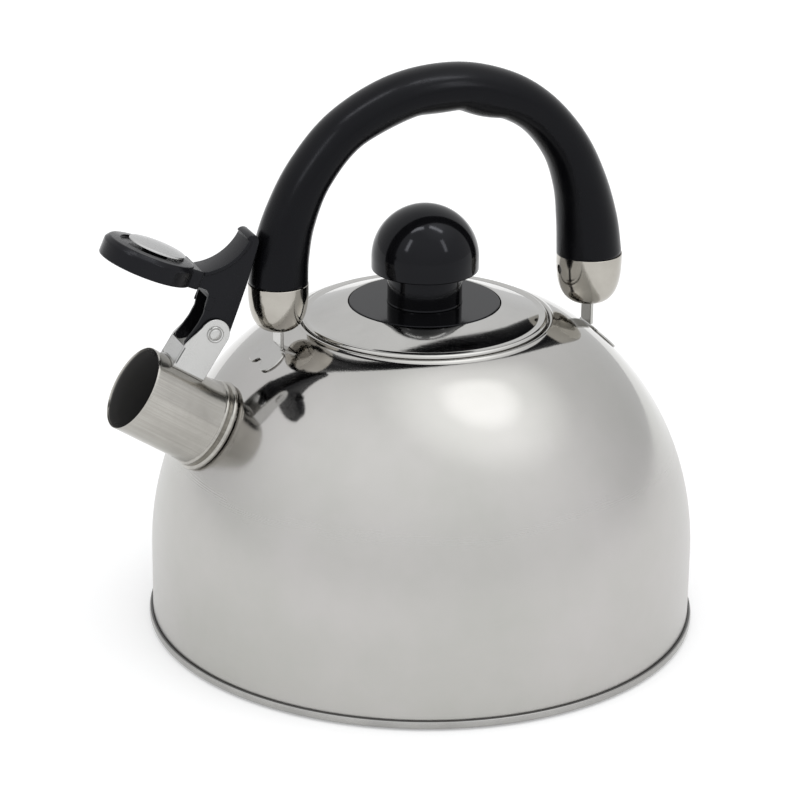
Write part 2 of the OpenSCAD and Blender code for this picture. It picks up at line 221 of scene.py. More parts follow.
def rounded(corners, closed=True, steps=5):
    """A profile through corners (r, z, radius), each corner replaced by an arc of that radius."""
    points = []
    count = len(corners)
    for i, (r, z, radius) in enumerate(corners):
        here = Vector((r, z))
        if radius <= 0 or (not closed and i in (0, count - 1)):
            points.append((r, z))
            continue
        before = (Vector(corners[i - 1][:2]) - here).normalized()
        after = (Vector(corners[(i + 1) % count][:2]) - here).normalized()
        half = before.angle(after) / 2
        reach = radius / math.tan(half)
        centre = here + (before + after).normalized() * (radius / math.sin(half))
        first = here + before * reach - centre
        last = here + after * reach - centre
        turn = first.angle_signed(last)
        for k in range(steps + 1):
            spoke = first.copy()
            spoke.rotate(Matrix.Rotation(-turn * k / steps, 2))
            points.append(tuple(centre + spoke))
    return points


def split_long(points, longest, closed=True):
    """Adds points so that no stretch of a profile is longer than longest."""
    out = []
    count = len(points)
    for i in range(count if closed else count - 1):
        a = Vector(points[i])
        b = Vector(points[(i + 1) % count])
        pieces = max(1, math.ceil((b - a).length / longest))
        out += [tuple(a.lerp(b, k / pieces)) for k in range(pieces)]
    return out if closed else out + [points[-1]]


# ---- frames ----

def spout_frame():
    """The spout's own frame: origin at its mouth, z outwards, x up from its axis, y along Y."""
    outwards = Vector((-math.cos(SPOUT_TILT), 0, math.sin(SPOUT_TILT)))
    up = Vector((math.sin(SPOUT_TILT), 0, math.cos(SPOUT_TILT)))
    turn = Matrix((up, Vector((0, 1, 0)), outwards)).transposed().to_4x4()
    return Matrix.Translation(SPOUT_MOUTH) @ turn


def lever_frame():
    """The lever's own frame: origin at its pivot, z along the spout when it is closed."""
    pivot = Matrix.Translation((PIVOT_UP, 0, -PIVOT_BACK))
    return spout_frame() @ pivot @ Matrix.Rotation(LEVER_OPEN, 4, "Y")


# ---- mesh building ----

def finish_mesh(name, bm, place=None, sharp=math.radians(50)):
    """Turns a bmesh in millimetres into a smooth-shaded object in metres."""
    if place is not None:
        bm.transform(place)
    bm.transform(Matrix.Scale(MM, 4))
    bmesh.ops.recalc_face_normals(bm, faces=bm.faces)
    mesh = bpy.data.meshes.new(name)
    bm.to_mesh(mesh)
    bm.free()
    mesh.shade_smooth()
    mesh.set_sharp_from_angle(angle=sharp)
    piece = bpy.data.objects.new(name, mesh)
    bpy.context.scene.collection.objects.link(piece)
    return piece


def flat_shading_kept(piece):
    """Keeps large flats flat where they meet small rounded edges."""
    modifier = piece.modifiers.new("weighted_normals", "WEIGHTED_NORMAL")
    modifier.keep_sharp = True
    return piece


def bevel(piece, width, segments=3, angle=math.radians(35)):
    """Rounds the edges that are sharper than the angle."""
    modifier = piece.modifiers.new("rounded_edges", "BEVEL")
    modifier.width = width * MM
    modifier.segments = segments
    modifier.limit_method = "ANGLE"
    modifier.angle_limit = angle
    return piece


def cut(piece, tool):
    """Takes the tool's volume out of the piece and throws the tool away."""
    modifier = piece.modifiers.new("cut", "BOOLEAN")
    modifier.operation = "DIFFERENCE"
    modifier.solver = "EXACT"
    modifier.object = tool
    apply_modifiers(piece)
    bpy.data.objects.remove(tool)


def apply_modifiers(piece):
    """Replaces the piece's mesh by what its modifiers make of it."""
    bpy.context.view_layer.update()
    evaluated = piece.evaluated_get(bpy.context.evaluated_depsgraph_get())
    mesh = bpy.data.meshes.new_from_object(evaluated)
    old = piece.data
    piece.modifiers.clear()
    piece.data = mesh
    bpy.data.meshes.remove(old)


def join(name, pieces):
    """Makes one object of several, with the meshes kept as they are."""
    bm = bmesh.new()
    for piece in pieces:
        apply_modifiers(piece)
        bm.from_mesh(piece.data)
        bpy.data.objects.remove(piece)
    mesh = bpy.data.meshes.new(name)
    bm.to_mesh(mesh)
    bm.free()
    joined = bpy.data.objects.new(name, mesh)
    bpy.context.scene.collection.objects.link(joined)
    return joined


def lathe_bmesh(profile, segments, closed):
    """A surface of revolution about z. Points of the profile at r = 0 become one pole."""
    bm = bmesh.new()
    rows = []
    for r, z in profile:
        if r < 1e-6:
            rows.append([bm.verts.new((0, 0, z))])
            continue
        row = []
        for k in range(segments):
            a = 2 * math.pi * k / segments
            row.append(bm.verts.new((r * math.cos(a), r * math.sin(a), z)))
        rows.append(row)
    pairs = len(rows) if closed else len(rows) - 1
    for i in range(pairs):
        a = rows[i]
        b = rows[(i + 1) % len(rows)]
        if len(a) == 1 and len(b) == 1:
            continue
        for k in range(segments):
            n = (k + 1) % segments
            if len(a) == 1:
                bm.faces.new((a[0], b[k], b[n]))
            elif len(b) == 1:
                bm.faces.new((a[k], b[0], a[n]))
            else:
                bm.faces.new((a[k], b[k], b[n], a[n]))
    return bm


def lathe(name, profile, segments=ROUND, closed=True, place=None):
    return finish_mesh(name, lathe_bmesh(profile, segments, closed), place)


def prism(name, outline, low, high, place=None):
    """The outline's (x, z) points stretched along y from low to high."""
    bm = bmesh.new()
    near = [bm.verts.new((x, low, z)) for x, z in outline]
    far = [bm.verts.new((x, high, z)) for x, z in outline]
    bm.faces.new(near)
    bm.faces.new(list(reversed(far)))
    count = len(outline)
    for i in range(count):
        n = (i + 1) % count
        bm.faces.new((near[i], far[i], far[n], near[n]))
    return finish_mesh(name, bm, place)


def block(name, low, high, place=None):
    """A box between two opposite corners."""
    outline = [(low[0], low[2]), (high[0], low[2]), (high[0], high[2]), (low[0], high[2])]
    return prism(name, outline, low[1], high[1], place)


def rod(name, radius, low, high, place):
    """A plain round rod along z."""
    return lathe(name, [(0, low), (radius, low), (radius, high), (0, high)], 48, False, place)


def loft(name, rings):
    """A closed surface through rings of equal point counts, with its ends filled."""
    bm = bmesh.new()
    rows = [[bm.verts.new(p) for p in ring] for ring in rings]
    count = len(rows[0])
    for a, b in zip(rows, rows[1:]):
        for k in range(count):
            n = (k + 1) % count
            bm.faces.new((a[k], a[n], b[n], b[k]))
    bm.faces.new(list(reversed(rows[0])))
    bm.faces.new(rows[-1])
    return finish_mesh(name, bm)


# ---- material building ----

class Look:
    """A node material under construction: its shader and short ways to add texture nodes."""

    def __init__(self, name, **values):
        self.material = bpy.data.materials.new(name)
        self.material.use_nodes = True
        self.tree = self.material.node_tree
        self.shader = self.tree.nodes["Principled BSDF"]
        for socket, value in values.items():
            self.shader.inputs[socket.replace("_", " ")].default_value = value

    def node(self, kind, **settings):
        made = self.tree.nodes.new(kind)
        for key, value in settings.items():
            setattr(made, key, value)
        return made

    def link(self, source, target):
        self.tree.links.new(source, target)

    def maths(self, operation, a, b=None):
        made = self.node("ShaderNodeMath", operation=operation)
        for socket, value in zip(made.inputs, (a, b)):
            if value is None:
                continue
            if isinstance(value, (int, float)):
                socket.default_value = value
            else:
                self.link(value, socket)
        return made.outputs[0]

    def place(self, turn=None, origin=(0, 0, 0)):
        """The object's own coordinates in metres, moved and turned into a feature's frame."""
        mapping = self.node("ShaderNodeMapping", vector_type="TEXTURE")
        mapping.inputs["Location"].default_value = origin
        if turn is not None:
            mapping.inputs["Rotation"].default_value = turn
        self.link(self.node("ShaderNodeTexCoord").outputs["Object"], mapping.inputs["Vector"])
        return mapping.outputs[0]

    def stretched(self, vector, scale):
        mapping = self.node("ShaderNodeMapping")
        mapping.inputs["Scale"].default_value = scale
        self.link(vector, mapping.inputs["Vector"])
        return mapping.outputs[0]

    def around(self, vector):
        """(angle, radius, height) about the frame's z axis, each spread so that 1 is about 1 m."""
        parts = self.node("ShaderNodeSeparateXYZ")
        self.link(vector, parts.inputs[0])
        angle = self.maths("ARCTAN2", parts.outputs[1], parts.outputs[0])
        square = self.maths("ADD", self.maths("POWER", parts.outputs[0], 2),
                            self.maths("POWER", parts.outputs[1], 2))
        whole = self.node("ShaderNodeCombineXYZ")
        self.link(self.maths("MULTIPLY", angle, 0.1), whole.inputs[0])
        self.link(self.maths("SQRT", square), whole.inputs[1])
        self.link(parts.outputs[2], whole.inputs[2])
        return whole.outputs[0]

    def noise(self, vector, scale, detail=4.0, roughness=0.5):
        made = self.node("ShaderNodeTexNoise")
        made.inputs["Scale"].default_value = scale
        made.inputs["Detail"].default_value = detail
        made.inputs["Roughness"].default_value = roughness
        self.link(vector, made.inputs["Vector"])
        return made.outputs["Fac"]

    def ramp(self, value, low, high, start=0.0, end=1.0):
        """Maps value from start..end to low..high and holds it there."""
        made = self.node("ShaderNodeMapRange", clamp=True)
        for socket, number in zip(list(made.inputs)[1:5], (start, end, low, high)):
            socket.default_value = number
        self.link(value, made.inputs[0])
        return made.outputs[0]

    def tint(self, value, low, high):
        """The base colour, blended from low to high; high may be another blend's colour."""
        made = self.node("ShaderNodeMix", data_type="RGBA")
        colours = [s for s in made.inputs if s.type == "RGBA"]
        colours[0].default_value = (*low, 1)
        if isinstance(high, tuple):
            colours[1].default_value = (*high, 1)
        else:
            self.link(high, colours[1])
        self.link(value, made.inputs[0])
        blended = [s for s in made.outputs if s.type == "RGBA"][0]
        self.link(blended, self.shader.inputs["Base Color"])
        return blended

    def rough(self, value):
        self.link(value, self.shader.inputs["Roughness"])

    def bump(self, height, distance, strength=1.0, under=None):
        made = self.node("ShaderNodeBump")
        made.inputs["Distance"].default_value = distance
        made.inputs["Strength"].default_value = strength
        self.link(height, made.inputs["Height"])
        if under is not None:
            self.link(under, made.inputs["Normal"])
        return made.outputs[0]

    def normal(self, bump):
        self.link(bump, self.shader.inputs["Normal"])


def steel_look(name, dark, light, polish, wander, lines, origin=(0, 0, 0), turn=None, patch=38,
               satin=None, streaks=0, painted_shade_r=0, waves=(9, 0.0005)):
    """Stainless steel turned about an axis: fine polishing lines round it, smears and faint waves.

    polish is the roughness between the smears, wander what a smear adds to it and lines how far the
    polishing lines change it. patch sets how fine the smears are. satin, where given, is (low height,
    high height, extra roughness below the low one). streaks are darker lines along the axis. Inside
    the radius given for it, painted shade makes the steel dark and dull, for a bore or a seam. waves
    gives how fine and how deep the faint waves are.
    """
    look = Look(name, Metallic=1.0)
    where = look.place(turn, origin)
    round_it = look.around(where)
    fine = look.noise(look.stretched(round_it, (6, 900, 900)), 4, 5, 0.6)
    smear = look.noise(where, patch, 5, 0.6)
    wave = look.noise(where, waves[0], 1, 0.4)
    shade = look.ramp(smear, 0, 1, 0.3, 0.7)
    if streaks:
        streak = look.noise(look.stretched(round_it, (streaks, 0, 3)), 4, 4, 0.65)
        shade = look.maths("MULTIPLY", shade, look.ramp(streak, 0.2, 1.3, 0.35, 0.65))
    colour = look.tint(shade, dark, light)
    # Inside the given radius the steel gets painted shade: a dark, dull colour that is not metallic.
    if painted_shade_r:
        spoke = look.node("ShaderNodeSeparateXYZ")
        look.link(round_it, spoke.inputs[0])
        unshaded = look.ramp(spoke.outputs[1], 0, 1, (painted_shade_r - 0.2) * MM, painted_shade_r * MM)
        look.tint(unshaded, PAINTED_SHADE, colour)
        look.link(unshaded, look.shader.inputs["Metallic"])
    grain = look.ramp(fine, -lines, lines, 0.3, 0.7)
    haze = look.ramp(smear, polish, polish + wander, 0.35, 0.75)
    roughness = look.maths("ADD", haze, grain)
    if satin is not None:
        low, high, extra = satin
        height = look.node("ShaderNodeSeparateXYZ")
        look.link(where, height.inputs[0])
        worn = look.ramp(height.outputs[2], extra, 0.0, low * MM, high * MM)
        roughness = look.maths("ADD", roughness, worn)
    look.rough(roughness)
    wavy = look.bump(wave, waves[1], 0.2)
    look.normal(look.bump(fine, 0.00002, 0.2, wavy))
    return look.material


def black_look(name, dark, light, gloss, wander, grain, specular):
    """Moulded black phenolic: near-black with a soft mottle, a fine orange peel and light rubs.

    gloss is the basic roughness, wander how far the mottle and the rubs change it, and grain the
    depth of the peel.
    """
    look = Look(name, Specular_IOR_Level=specular, Specular_Tint=BLACK_SHEEN)
    where = look.place()
    mottle = look.noise(where, 60, 4, 0.55)
    peel = look.noise(where, 900, 2, 0.5)
    rubs = look.noise(look.stretched(where, (1, 1, 0.25)), 420, 3, 0.6)
    look.tint(mottle, dark, light)
    rubbed = look.ramp(rubs, -wander * 0.4, wander * 0.6, 0.35, 0.7)
    look.rough(look.maths("ADD", look.ramp(mottle, gloss, gloss + wander, 0.3, 0.7), rubbed))
    look.normal(look.bump(peel, grain, 0.35))
    return look.material


def materials():
    """Every material of the kettle, by the piece it is for."""
    spout_turn = (0, SPOUT_TILT - math.pi / 2, 0)
    lever_turn = (0, SPOUT_TILT - math.pi / 2 + LEVER_OPEN, 0)
    spout_at = tuple(SPOUT_MOUTH * MM)
    cap_at = tuple(lever_frame() @ Vector((-PIVOT_UP, 0, 0)) * MM)
    ferrule = dict(dark=(0.35, 0.33, 0.295), light=(0.46, 0.44, 0.40), polish=0.09, wander=0.06,
                   lines=0.02, waves=(90, 0.0014))
    return {
        "body": steel_look("polished_body", (0.44, 0.438, 0.413), (0.505, 0.49, 0.478),
                           polish=0.05, wander=0.05, lines=0.02, patch=13, satin=(70, 104, 0.24)),
        "lid": steel_look("polished_lid", (0.47, 0.463, 0.445), (0.53, 0.523, 0.505),
                          polish=0.04, wander=0.05, lines=0.015),
        # The pan and the top of its rim next to the wall are painted dark: painted shade for the seam
        # between the wall and the rim.
        "rim": steel_look("rolled_rim", (0.33, 0.325, 0.315), (0.42, 0.415, 0.40),
                          polish=0.20, wander=0.10, lines=0.04, painted_shade_r=RIM_R - 0.35),
        # The spout's bore is painted dark and dull: painted shade for the inside of the deep tube.
        "spout": steel_look("brushed_spout", (0.34, 0.328, 0.302), (0.49, 0.475, 0.442),
                            polish=0.17, wander=0.07, lines=0.06, origin=spout_at, turn=spout_turn,
                            streaks=60, painted_shade_r=SPOUT_R - 0.35),
        "bracket": steel_look("rolled_bracket", (0.50, 0.50, 0.49), (0.58, 0.58, 0.57),
                              polish=0.26, wander=0.08, lines=0.02),
        "front_cap": steel_look("polished_front_ferrule", origin=(-FRONT_X * MM, 0, 0), **ferrule),
        "rear_cap": steel_look("polished_rear_ferrule", origin=(REAR_X * MM, 0, 0), **ferrule),
        "strap": steel_look("satin_strap", (0.44, 0.435, 0.42), (0.52, 0.515, 0.50),
                            polish=0.12, wander=0.08, lines=0.03),
        "disc": steel_look("satin_disc", (0.47, 0.47, 0.465), (0.56, 0.56, 0.555),
                           polish=0.26, wander=0.10, lines=0.05, origin=cap_at, turn=lever_turn),
        # The screws are painted near-black: painted shade for the holes in the ferrules that they are
        # seen through.
        "screw": steel_look("screw_painted_shade", (0.03, 0.03, 0.03), (0.06, 0.058, 0.055),
                            polish=0.30, wander=0.10, lines=0.02),
        "grip": black_look("black_grip", (0.0015, 0.0015, 0.002), (0.003, 0.003, 0.0035),
                           gloss=0.20, wander=0.07, grain=0.00003, specular=0.13),
        "knob": black_look("black_knob", (0.002, 0.002, 0.0025), (0.004, 0.004, 0.0045),
                           gloss=0.09, wander=0.04, grain=0.00001, specular=0.17),
        "lever": black_look("black_lever", (0.003, 0.003, 0.0035), (0.006, 0.006, 0.007),
                            gloss=0.20, wander=0.08, grain=0.00003, specular=0.17),
    }


# ---- steel body ----

def dome_point(t, out=0.0):
    """A point on the dome's curve at angle t in degrees, moved out along the normal.

    Inside the shoulder's radius the curve is a little flatter than the ellipse.
    """
    a = math.radians(t)
    normal = Vector((math.cos(a) / DOME_SPAN, math.sin(a) / DOME_RISE)).normalized()
    r = DOME_CROWN_R + DOME_SPAN * math.cos(a)
    sag = SHOULDER_SAG * max(0, SHOULDER_R - r) ** 2
    return (r + out * normal.x, WALL_H + DOME_RISE * math.sin(a) - sag + out * normal.y)


def dome_angle(r):
    """The dome's angle in degrees at a distance from the axis."""
    return math.degrees(math.acos((r - DOME_CROWN_R) / DOME_SPAN))


def dome_z(r):
    """The dome's height at a distance from the axis."""
    return dome_point(dome_angle(r))[1]


def body_profile():
    """The outside of the body's sheet, from its foot over the dome and lip to the lid's seat."""
    lip_t = dome_angle(LIP_R)
    lip_z = dome_z(LIP_R)
    wall = [(BODY_R, WALL_FOOT + (WALL_H - WALL_FOOT) * i / 20) for i in range(20)]
    dome = [dome_point(lip_t * i / 90) for i in range(91)]
    lip = arc((LIP_ROLL_AT, lip_z - 0.5), LIP_ROLL_R, 45, 180, 12)
    seat = rounded([(SEAT_R, lip_z - 0.55, 0), (SEAT_R, SEAT_Z, 0.35), (MOUTH_R, SEAT_Z, 0.5),
                    (MOUTH_R, SEAT_Z - 4, 0)], closed=False)
    return wall + dome + lip + seat


def open_spout_hole(bm, radius):
    """Removes the sheet inside the spout and draws the hole's edge onto a true circle."""
    from_spout = spout_frame()
    to_spout = from_spout.inverted()

    def reach(vert):
        """Distance from the spout's axis; points far from the spout are out of reach."""
        p = to_spout @ vert.co
        return math.hypot(p.x, p.y) if -SPOUT_SEARCH < p.z < 0 else math.inf

    doomed = [f for f in bm.faces if all(reach(v) < radius for v in f.verts)]
    bmesh.ops.delete(bm, geom=doomed, context="FACES")
    for vert in bm.verts:
        if vert.is_boundary and reach(vert) < radius + HOLE_MARGIN:
            p = to_spout @ vert.co
            scale = radius / math.hypot(p.x, p.y)
            moved = from_spout @ Vector((p.x * scale, p.y * scale, p.z))
            r = math.hypot(moved.x, moved.y)
            moved.z = dome_z(r)
            vert.co = moved


def make_body():
    """The body's sheet, with the hole that the spout goes through."""
    bm = lathe_bmesh(body_profile(), FINE_ROUND, closed=False)
    open_spout_hole(bm, SPOUT_R + 0.15)
    body = finish_mesh("kettle_body", bm)
    solid = body.modifiers.new("sheet", "SOLIDIFY")
    solid.thickness = SHEET * MM
    solid.offset = -1
    return body


def make_base():
    """The pan under the body, its edge rolled up round the foot of the wall."""
    corners = [
        (0, 0, 0), (BASE_FLAT_R, 0, 2), (BASE_FLAT_R + 1.5, 0.7, 2), (RIM_R - 0.2, 0.7, 1.2),
        (RIM_R, 2.0, 0.6), (RIM_R, 2.8, 0.6), (RIM_R - 0.25, RIM_TOP, 0.7),
        (BODY_R + 0.1, RIM_TOP, 0.25), (BODY_R + 0.1, 1.5, 0), (BASE_FLAT_R + 1.1, 1.5, 0.5),
        (BASE_FLAT_R - 0.4, SHEET, 0.5), (0, SHEET, 0),
    ]
    profile = split_long(rounded(corners, closed=False, steps=6), 12, closed=False)
    return flat_shading_kept(lathe("base_rim", profile, FINE_ROUND, closed=False))


# ---- lid and knob ----

def lid_top(r):
    """Height of the lid's top, whose slope grows from the guard to the bead."""
    d = r - GUARD_R - GUARD_EDGE
    return LID_CROWN_Z - LID_SLOPE * d - d * d / LID_BEND


def make_lid():
    """The lid's sheet: the well under the guard, the dome and the beaded rim."""
    bead = (LID_R - LID_BEAD, SEAT_Z + LID_LIFT + LID_BEAD)
    inner = GUARD_R + GUARD_EDGE
    outer = LID_R - 2 * LID_BEAD - 0.2
    dome = [inner + (outer - inner) * i / 16 for i in range(17)]
    floor = GUARD_Z - GAP
    well = rounded([(KNOB_BORE_R, floor, 0), (GUARD_R + 0.4, floor, 0.4),
                    (GUARD_R + 0.4, lid_top(inner) + 0.1, 0.35),
                    (inner + 0.6, lid_top(inner + 0.6), 0)], closed=False)
    top = well[:-1] + [(r, lid_top(r)) for r in dome[1:]]
    edge = arc(bead, LID_BEAD, 97, -170, 32)
    under = [(r, lid_top(r) - SHEET) for r in reversed(dome)]
    under += [(GUARD_R + 0.45, floor - SHEET), (KNOB_BORE_R, floor - SHEET)]
    profile = split_long(top + edge + under, 4)
    return flat_shading_kept(lathe("lid_dome", profile, FINE_ROUND))


def make_guard():
    """The black dish that lies in the lid's well, under the knob."""
    top = GUARD_Z + GUARD_H
    corners = [(KNOB_BORE_R, GUARD_Z, 0), (GUARD_R, GUARD_Z, 0.4), (GUARD_R, top, 0.5),
               (KNOB_BORE_R, top, 0)]
    return flat_shading_kept(lathe("heat_guard", split_long(rounded(corners), 4), 256))


def make_knob():
    """The knob: a ball with a straight skirt on a round stem."""
    stem_z = GUARD_Z + GUARD_H + GAP
    under = rounded([(0, stem_z, 0), (STEM_R + 0.25, stem_z, 0.2), (STEM_R, stem_z + 0.8, 0.3),
                     (STEM_R, KNOB_Z - KNOB_SKIRT, 0.3), (KNOB_R, KNOB_Z - KNOB_SKIRT, 0.6),
                     (KNOB_R, KNOB_Z, 0)], closed=False)
    dome = arc((0, KNOB_Z), KNOB_R, 1.5, 90, 60)
    dome[-1] = (0, KNOB_Z + KNOB_R)
    profile = split_long(under + dome, 3, closed=False)
    return lathe("knob_ball", profile, closed=False)


# ---- spout ----

def make_spout():
    """A tube with a rolled mouth, two rings where it meets the body and a flared inner end."""
    inner = SPOUT_R - SHEET
    outside = (
        [(SPOUT_R - 0.25, -0.05), (SPOUT_R - 0.1, 0), (SPOUT_R, -0.12), (SPOUT_R, -1.2)]
        + [(SPOUT_R, -4 - 4 * i) for i in range(7)]
        + arc((SPOUT_R - 0.1, -BEAD_BACK + RING_AHEAD), RING_R, 70, -50, 10)
        + arc((SPOUT_R + 0.6, -BEAD_BACK), BEAD_HALF, 95, -95, 18)
        + rounded([(SPOUT_R, -BEAD_BACK - 1.4, 0), (SPOUT_R, SPOUT_ROOT + SHEET, 0.3),
                   (SPOUT_R + SPOUT_FLARE, SPOUT_ROOT + SHEET, 0.3),
                   (SPOUT_R + SPOUT_FLARE, SPOUT_ROOT, 0.3),
                   (inner, SPOUT_ROOT, 0.5), (inner, SPOUT_ROOT + 3, 0)], closed=False)
    )
    inside = [(inner, SPOUT_ROOT + 6 + 4 * i) for i in range(8)] + [(inner, -1.6)]
    return lathe("spout", outside + inside, place=spout_frame())


def ear_outline():
    """One ear of the bracket in the spout's (x up, z outwards) plane."""
    foot = SPOUT_R - 0.9
    top = arc((PIVOT_UP, -PIVOT_BACK), EAR_HALF, -90, 90, 24)
    front = rounded([(PIVOT_UP, -PIVOT_BACK + EAR_HALF, 0), (LIP_TOP + 1, -LIP_BACK, 3),
                     (foot, -LIP_BACK, 0)], closed=False)
    return [(foot, -PIVOT_BACK - EAR_HALF)] + top + front[1:]


def saddle_strip(name, low, high):
    """The bracket's base, bent to the tube, between two distances from the mouth."""
    inner = SPOUT_R + GAP
    outer = inner + EAR_T
    spread = math.degrees(math.asin((EAR_IN + EAR_T) / outer))
    outline = arc((0, 0), outer, -spread, spread, 16) + arc((0, 0), inner, spread, -spread, 16)
    return prism(name, outline, low, high, spout_frame() @ Matrix.Rotation(math.pi / 2, 4, "X"))


def make_bracket():
    """The lever's bracket: two ears, the strip between them on the tube and its upturned lip."""
    place = spout_frame()
    half = EAR_IN + EAR_T
    plates = []
    for side in (-1, 1):
        low, high = sorted((side * EAR_IN, side * half))
        plates.append(bevel(prism("ear", ear_outline(), low, high, place), 0.22, 2))
    plates.append(bevel(saddle_strip("saddle", -PIVOT_BACK - EAR_HALF, -LIP_BACK), 0.2, 2))
    lip = block("lip", (SPOUT_R, -half, -LIP_BACK - EAR_T), (LIP_TOP, half, -LIP_BACK), place)
    plates.append(bevel(lip, 0.3, 3))
    return join("lever_fork", plates)


def make_rivet():
    """The pivot's pin with a head at each end: a low dome inside a raised ring."""
    head = EAR_IN + EAR_T + GAP
    upper = [(RIVET_R, head), (RIVET_HEAD_R, head), (RIVET_HEAD_R, head + 0.45),
             (2.95, head + 0.75), (2.5, head + 0.6), (2.35, head + 0.3), (2.0, head + 0.75),
             (1.2, head + 0.95), (0, head + 1.0)]
    lower = [(r, -z) for r, z in reversed(upper)]
    turn = Matrix.Translation((PIVOT_UP, 0, -PIVOT_BACK)) @ Matrix.Rotation(math.pi / 2, 4, "X")
    return lathe("pivot_rivet", lower + upper, 64, closed=False, place=spout_frame() @ turn)


# ---- whistle ----

def arm_outline():
    """The lever's arm from the side: cap end, heel, pivot end, back, thumb tip and saddle."""
    return (
        [(-20, CAP_Z + 0.4), (-9.5, CAP_Z + 0.4), (-7.9, 13.8), (-7.6, 10), (-6.9, 6.2), (-7.4, 1.7),
         (-8.7, -3)]
        + arc((-7.9, -6.6), 2, 170, 290, 8)
        + arc((0, 0), PIVOT_END_R, 250, 365, 16)
        + [(5.9, 12), (5.4, 22)]
        + arc(TIP_AT, TIP_R, 4, 165, 12)
        + arc(SADDLE_AT, SADDLE_R, -6, -80, 24)
    )


def make_arm():
    """The lever's arm, hollowed by a channel and bored for the rivet."""
    place = lever_frame()
    arm = prism("lever_arm", arm_outline(), -ARM_W / 2, ARM_W / 2, place)
    bevel(arm, 0.7, 4)
    apply_modifiers(arm)
    cut(arm, block("channel", (-24, -5, -20), (-3, 5, 12.5), place))
    turn = place @ Matrix.Rotation(math.pi / 2, 4, "X")
    cut(arm, rod("bore", RIVET_R + 0.06, -20, 20, turn))
    arm.data.set_sharp_from_angle(angle=math.radians(40))
    return join("arm_with_edge", [arm, make_arm_edge()])


def make_arm_edge():
    """The raised edge along both sides of the thumb's saddle."""
    inner = SADDLE_R + GAP
    outer = SADDLE_R + 1.7
    outline = arc(SADDLE_AT, inner, -6, -66, 24) + arc(SADDLE_AT, outer, -66, -6, 24)
    half = ARM_W / 2 + 0.4
    return bevel(prism("saddle_edge", outline, -half, half, lever_frame()), 0.35, 3)


def make_cap():
    """The round cap: a cup open below, with a well on top and in it the boss for the disc."""
    top = CAP_Z + CAP_H
    roof = top - 2.4
    corners = [
        (0, top - CAP_WELL, 0), (CAP_WELL_R, top - CAP_WELL, 0.3), (CAP_WELL_R, top - 0.1, 0.3),
        (CAP_R - 1.4, top - 0.5, 1.2), (CAP_R, top - 2.2, 1.5), (CAP_R, CAP_Z, 0.6),
        (CAP_HOLLOW_R, CAP_Z, 0.4), (CAP_HOLLOW_R, roof, 0.6), (0, roof, 0),
    ]
    profile = split_long(rounded(corners, closed=False, steps=7), 3, closed=False)
    place = lever_frame() @ Matrix.Translation((-PIVOT_UP, 0, 0))
    rim = flat_shading_kept(lathe("cap_rim", profile, 160, closed=False, place=place))
    boss = rod("boss", BOSS_R, top - 1.3, top + 1.7, place @ Matrix.Translation((DISC_SHIFT, 0, 0)))
    return join("lever_cap", [rim, boss])


def make_neck():
    """The block that carries the cap on the arm, and the small pads on the arm's sides."""
    place = lever_frame()
    top = CAP_Z + CAP_H - CAP_WELL
    neck = block("neck", (-28, -NECK_HALF, CAP_Z), (-14.6, NECK_HALF, top), place)
    pieces = [bevel(neck, 1.2, 5)]
    for side in (-1, 1):
        low, high = sorted((side * (ARM_W / 2 - 0.2), side * (ARM_W / 2 + 0.35)))
        pieces.append(bevel(block("pad", (-7.7, low, 8), (-4.9, high, 13.3), place), 0.2, 2))
    return join("lever_neck", pieces)


def make_disc():
    """The shallow domed steel disc that stands on the cap's boss."""
    crown = CAP_Z + CAP_H + DISC_CROWN
    edge = 90 - math.degrees(math.asin((DISC_R - 0.15) / DISC_DOME_R))
    top = arc((0, crown - DISC_DOME_R), DISC_DOME_R, edge, 90, 24)
    under = arc((0, crown - DISC_T - DISC_DOME_R), DISC_DOME_R, 90, edge, 24)
    top[-1] = (0, top[-1][1])
    under[0] = (0, under[0][1])
    rim = [(DISC_R, under[-1][1] - 0.1), (DISC_R, top[0][1] - 0.15)]
    place = lever_frame() @ Matrix.Translation((DISC_SHIFT - PIVOT_UP, 0, 0))
    return lathe("cap_disc", under + rim + top, 160, closed=False, place=place)


# ---- handle ----

def blend(a, b, c, d, t):
    """A smooth curve's values between b and c, where a and d are the neighbours on each side."""
    return [0.5 * (2 * q + (r - p) * t + (2 * p - 5 * q + 4 * r - s) * t * t
                   + (3 * q - p - 3 * r + s) * t * t * t) for p, q, r, s in zip(a, b, c, d)]


def grip_at(s):
    """The grip's x, z and section sizes at s, counted in stations."""
    last = len(GRIP_STATIONS) - 1
    i = min(int(s), last - 1)
    pick = [GRIP_STATIONS[max(0, min(last, k))] for k in (i - 1, i, i + 1, i + 2)]
    return blend(*pick, s - i)


def grip_heading(s):
    """The angle at which the centre line runs at s; both ends stand upright."""
    last = len(GRIP_STATIONS) - 1
    if s <= 0:
        return math.pi / 2
    if s >= last:
        return -math.pi / 2
    a = grip_at(s - 0.01)
    b = grip_at(s + 0.01)
    return math.atan2(b[1] - a[1], b[0] - a[0])


def swell_at(s):
    """How far the finger flats stand out under the arch at s."""
    for low, high, swell in FINGER_FLATS:
        if low < s < high:
            return swell * math.sin(math.pi * (s - low) / (high - low))
    return 0.0


def grip_ring(s, shrink=0.0, shift=0.0):
    """The section's outline at s, made smaller by shrink and moved on along the arch by shift."""
    points = 64
    x, z, across, along = grip_at(s)
    heading = grip_heading(s)
    swell = swell_at(s)
    ring = []
    for k in range(points):
        a = 2 * math.pi * k / points
        lift = (across / 2 - shrink) * math.sin(a) - swell * max(0.0, -math.sin(a)) ** 2
        ring.append((x - lift * math.sin(heading) + shift * math.cos(heading),
                     (along / 2 - shrink) * math.cos(a),
                     z + lift * math.cos(heading) + shift * math.sin(heading)))
    return ring


